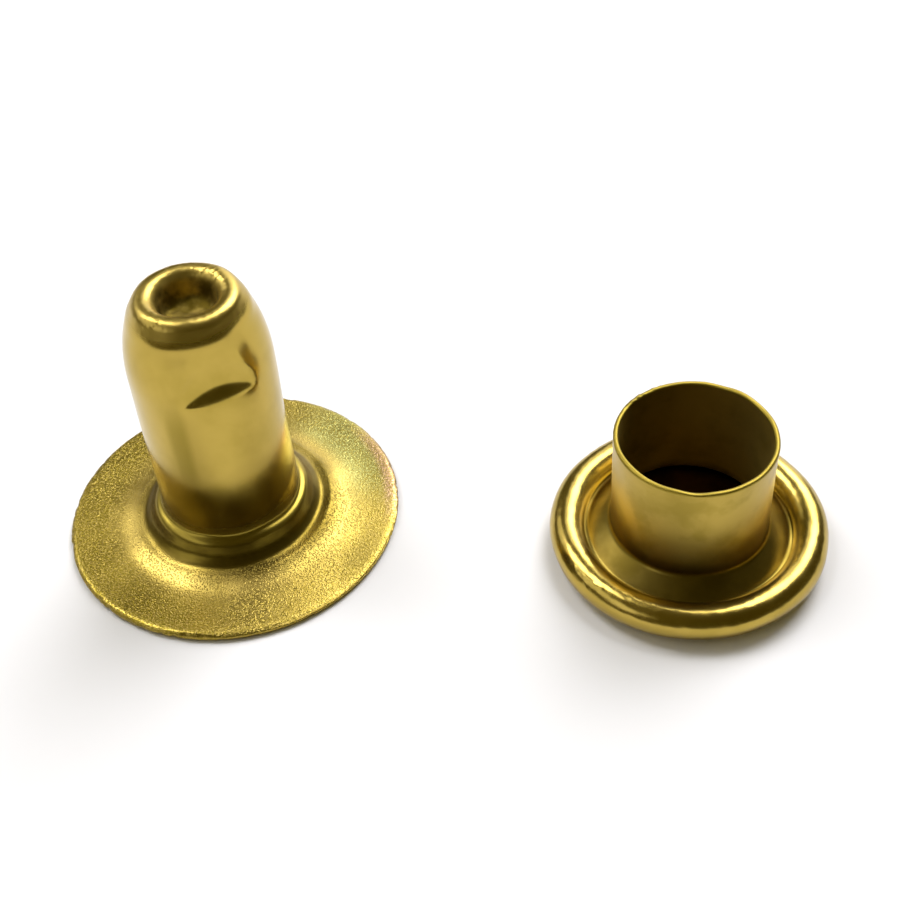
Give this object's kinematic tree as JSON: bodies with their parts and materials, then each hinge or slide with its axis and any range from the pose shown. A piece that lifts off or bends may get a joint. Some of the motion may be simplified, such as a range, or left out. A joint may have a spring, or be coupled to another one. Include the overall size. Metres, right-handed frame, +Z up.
{
  "type": "tubular rivet",
  "caption": "Tubular rivet for leather: a hollow flanged stud with a dimpled tip, beside its round cap, whose curled rim grips a flanged socket tube.",
  "frame": {"origin": "middle of the pair's footprint on the bench: the bottom centre of the bounding box", "axes": "+X from the stud's axis to the cap's axis, +Z up along both axes, towards the post's tip and the cap's mouth"},
  "size_m": [0.0226, 0.01, 0.0085],
  "materials": {
    "stud_brass": "drawn sheet brass, smooth on the post and faintly pebbled on the flange",
    "tube_brass": "drawn tube brass, semi-gloss",
    "shell_brass": "polished sheet brass"
  },
  "bodies": {
    "stud": {"stud": "stud_brass"},
    "cap": {"cap_tube": "tube_brass", "cap_shell": "shell_brass"}
  },
  "joints": [
    {"name": "cap_turn", "type": "hinge", "parent": "stud", "child": "cap", "pos_m": [0.0005, 0, 0.00594], "axis": [0, -1, 0], "range_deg": [0, 180]}
  ]
}
